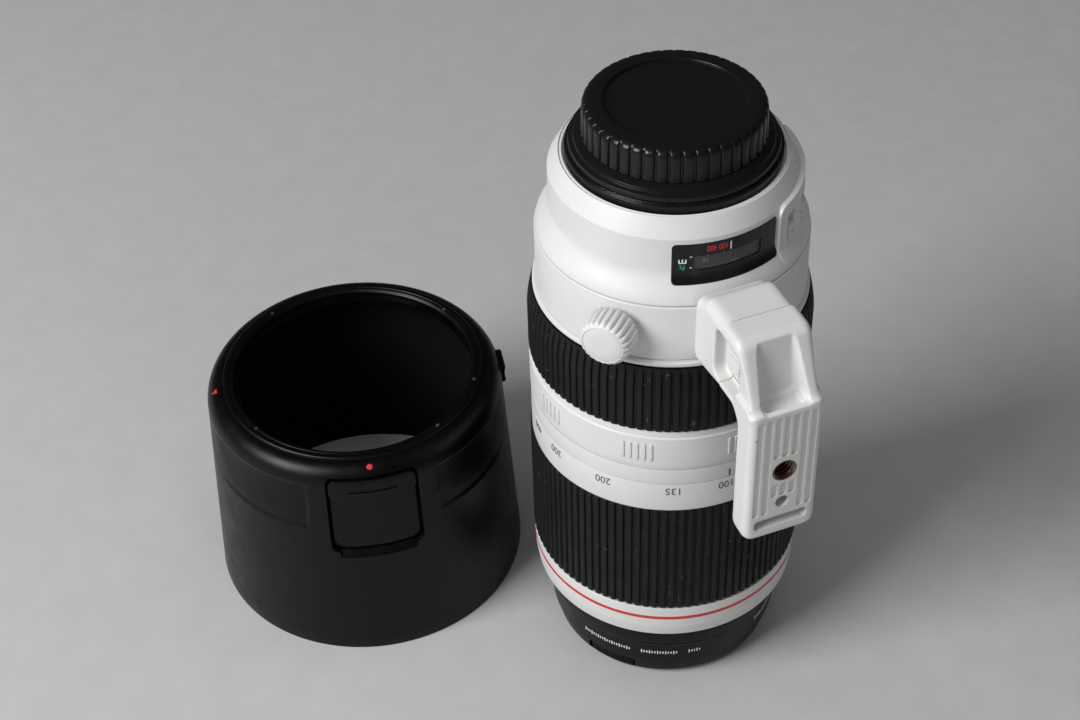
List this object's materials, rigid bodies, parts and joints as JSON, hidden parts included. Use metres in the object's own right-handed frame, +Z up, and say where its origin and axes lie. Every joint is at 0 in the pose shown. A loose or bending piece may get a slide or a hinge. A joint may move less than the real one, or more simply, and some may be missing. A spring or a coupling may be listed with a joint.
{
  "type": "telephoto zoom lens with hood",
  "caption": "Telephoto zoom lens with focus and zoom rings, rotating tripod collar, removable foot and both end caps, with its bayonet hood beside it.",
  "frame": {"origin": "on the optical axis, in the plane that the front cap stands on", "axes": "+Z up along the optical axis from the front cap to the camera mount; -Y is the direction in which the tripod foot stands out; the hood stands beside the lens towards -X and +Y"},
  "size_m": [0.1971, 0.2135, 0.2246],
  "materials": {
    "white_enamel": "warm white heat-reflecting enamel, satin, very finely textured",
    "white_plastic": "white moulded plastic painted to match the barrel",
    "black_metal": "satin black anodised or painted metal",
    "black_plastic": "satin black moulded plastic, finely grained",
    "black_rubber": "matt black ribbed rubber",
    "mount_chrome": "plated mount ring",
    "steel": "turned steel",
    "brass": "turned brass, worn bright at the mouth",
    "inner_aluminium": "machined aluminium, dark anodised",
    "optical_glass": "coated optical glass",
    "clear_window": "clear plastic window over the distance scale",
    "board_green": "printed circuit board",
    "gold_pins": "gold-plated contact pins"
  },
  "bodies": {
    "front_cap": {"front_cap": "black_plastic"},
    "cap_tab_right": {"front_cap_tab_right": "black_plastic"},
    "cap_tab_left": {"front_cap_tab_left": "black_plastic"},
    "front_barrel": {"front_bezel": "black_metal", "white_band": "white_enamel", "extending_sleeve": "black_metal", "front_cell": "inner_aluminium", "front_retaining_ring": "black_metal", "front_element": "optical_glass", "second_element": "optical_glass"},
    "main_barrel": {"main_tube": "inner_aluminium", "index_ring": "white_enamel", "rear_barrel": "white_enamel", "window_bezel": "black_plastic", "window_glass": "clear_window", "switch_panel": "white_plastic", "mount_ring": "mount_chrome", "mount_seal": "black_rubber", "mount_screws": "steel", "contact_block": "black_plastic", "contact_pins": "gold_pins", "rear_baffle": "black_metal", "guide_barrel": "inner_aluminium", "aperture_housing": "black_plastic", "aperture_blades": "black_metal", "motor_stator": "steel", "stabiliser_housing": "black_plastic", "rear_cell": "black_plastic", "rear_element": "optical_glass", "circuit_board": "board_green"},
    "zoom_ring": {"zoom_ring": "white_enamel", "zoom_rubber": "black_rubber"},
    "cam_tube": {"cam_tube": "inner_aluminium"},
    "zoom_group": {"zoom_cell": "inner_aluminium", "zoom_element": "optical_glass"},
    "tension_ring": {"tension_ring": "white_enamel"},
    "focus_ring": {"focus_ring": "black_plastic", "focus_rubber": "black_rubber"},
    "distance_scale": {"distance_scale": "black_plastic"},
    "motor_rotor": {"motor_rotor": "steel"},
    "focus_group": {"focus_cell": "black_plastic", "focus_element": "optical_glass"},
    "stabiliser_frame": {"stabiliser_frame": "black_plastic"},
    "stabiliser_group": {"stabiliser_cell": "black_plastic", "stabiliser_element": "optical_glass"},
    "collar": {"collar_ring": "white_enamel"},
    "lock_knob": {"lock_knob": "white_enamel"},
    "foot": {"tripod_foot": "white_enamel", "thread_bush": "brass"},
    "clamp_wheel": {"clamp_wheel": "white_enamel", "clamp_screw": "steel"},
    "focus_mode_switch": {"focus_mode_switch": "white_plastic"},
    "focus_limit_switch": {"focus_limit_switch": "white_plastic"},
    "stabiliser_switch": {"stabiliser_switch": "white_plastic"},
    "stabiliser_mode_switch": {"stabiliser_mode_switch": "white_plastic"},
    "rear_cap": {"rear_cap": "black_plastic"},
    "hood": {"hood_shell": "black_plastic", "hood_mount_ring": "black_plastic"},
    "hood_door": {"hood_door": "black_plastic"},
    "hood_button": {"hood_button": "black_plastic"}
  },
  "joints": [
    {"name": "cap_tab_right_press", "type": "slide", "parent": "front_cap", "child": "cap_tab_right", "axis": [-0.7986, -0.6018, 0], "range_m": [0, 0.0022], "stiffness_N_per_m": 900},
    {"name": "cap_tab_left_press", "type": "slide", "parent": "front_cap", "child": "cap_tab_left", "axis": [0.7986, 0.6018, 0], "range_m": [0, 0.0022], "stiffness_N_per_m": 900},
    {"name": "front_cap_lift", "type": "slide", "parent": "front_cap", "child": "front_barrel", "axis": [0, 0, 1], "range_m": [0, 0.03]},
    {"name": "zoom_extension", "type": "slide", "parent": "front_barrel", "child": "main_barrel", "axis": [0, 0, 1], "range_m": [0, 0.08]},
    {"name": "zoom_ring_turn", "type": "hinge", "parent": "main_barrel", "child": "zoom_ring", "pos_m": [0, 0, 0.07], "axis": [0, 0, 1], "range_deg": [0, 93.5]},
    {"name": "cam_tube_turn", "type": "hinge", "parent": "main_barrel", "child": "cam_tube", "pos_m": [0, 0, 0.094], "axis": [0, 0, 1], "range_deg": [0, 93.5]},
    {"name": "zoom_group_slide", "type": "slide", "parent": "main_barrel", "child": "zoom_group", "axis": [0, 0, -1], "range_m": [0, 0.0255]},
    {"name": "tension_ring_turn", "type": "hinge", "parent": "main_barrel", "child": "tension_ring", "pos_m": [0, 0, 0.12], "axis": [0, 0, 1], "range_deg": [0, 85]},
    {"name": "focus_ring_turn", "type": "hinge", "parent": "main_barrel", "child": "focus_ring", "pos_m": [0, 0, 0.142], "axis": [0, 0, 1], "range_deg": [0, 130]},
    {"name": "distance_scale_turn", "type": "hinge", "parent": "main_barrel", "child": "distance_scale", "pos_m": [0, 0, 0.194], "axis": [0, 0, 1], "range_deg": [0, 130.5]},
    {"name": "motor_rotor_turn", "type": "hinge", "parent": "main_barrel", "child": "motor_rotor", "pos_m": [0, 0, 0.158], "axis": [0, 0, 1], "range_deg": [0, 130.5]},
    {"name": "focus_group_slide", "type": "slide", "parent": "main_barrel", "child": "focus_group", "axis": [0, 0, -1], "range_m": [0, 0.0036]},
    {"name": "stabiliser_shift_x", "type": "slide", "parent": "main_barrel", "child": "stabiliser_frame", "axis": [1, 0, 0], "range_m": [-0.001, 0.001], "stiffness_N_per_m": 250},
    {"name": "stabiliser_shift_y", "type": "slide", "parent": "stabiliser_frame", "child": "stabiliser_group", "axis": [0, 1, 0], "range_m": [-0.001, 0.001], "stiffness_N_per_m": 250},
    {"name": "collar_turn", "type": "hinge", "parent": "main_barrel", "child": "collar", "pos_m": [0, 0, 0.1665], "axis": [0, 0, 1], "continuous": true},
    {"name": "lock_knob_turn", "type": "hinge", "parent": "collar", "child": "lock_knob", "pos_m": [-0.03657, -0.0341, 0.169], "axis": [-0.7314, -0.682, 0], "range_deg": [0, 360]},
    {"name": "foot_removal", "type": "slide", "parent": "collar", "child": "foot", "axis": [0, -1, 0], "range_m": [0, 0.03]},
    {"name": "clamp_wheel_turn", "type": "hinge", "parent": "foot", "child": "clamp_wheel", "pos_m": [0, -0.0655, 0.174], "axis": [0, -1, 0], "continuous": true},
    {"name": "focus_mode_slide", "type": "slide", "parent": "main_barrel", "child": "focus_mode_switch", "axis": [0, 0, 1], "range_m": [0, 0.0039]},
    {"name": "focus_limit_slide", "type": "slide", "parent": "main_barrel", "child": "focus_limit_switch", "axis": [0, 0, 1], "range_m": [0, 0.0039]},
    {"name": "stabiliser_slide", "type": "slide", "parent": "main_barrel", "child": "stabiliser_switch", "axis": [0, 0, 1], "range_m": [0, 0.0039]},
    {"name": "stabiliser_mode_slide", "type": "slide", "parent": "main_barrel", "child": "stabiliser_mode_switch", "axis": [0, 0, 1], "range_m": [0, 0.0039]},
    {"name": "rear_cap_lift", "type": "slide", "parent": "main_barrel", "child": "rear_cap", "axis": [0, 0, 1], "range_m": [0, 0.04]},
    {"name": "hood_set_aside", "type": "slide", "parent": "front_cap", "child": "hood", "axis": [-0.786, 0.6182, 0], "range_m": [0, 0.15]},
    {"name": "hood_door_slide", "type": "slide", "parent": "hood", "child": "hood_door", "axis": [0, 0, -1], "range_m": [0, 0.022]},
    {"name": "hood_button_press", "type": "slide", "parent": "hood", "child": "hood_button", "axis": [-0.981, 0.1942, 0], "range_m": [0, 0.0015], "stiffness_N_per_m": 600}
  ],
  "couplings": [
    {"joint": "zoom_ring_turn", "follows": "zoom_extension", "rad_per_m": 20.29},
    {"joint": "cam_tube_turn", "follows": "zoom_extension", "rad_per_m": 20.29},
    {"joint": "zoom_group_slide", "follows": "zoom_extension", "ratio": 0.3125},
    {"joint": "distance_scale_turn", "follows": "focus_ring_turn", "ratio": 1},
    {"joint": "motor_rotor_turn", "follows": "focus_ring_turn", "ratio": 1},
    {"joint": "focus_group_slide", "follows": "focus_ring_turn", "m_per_rad": 0.0015426}
  ]
}
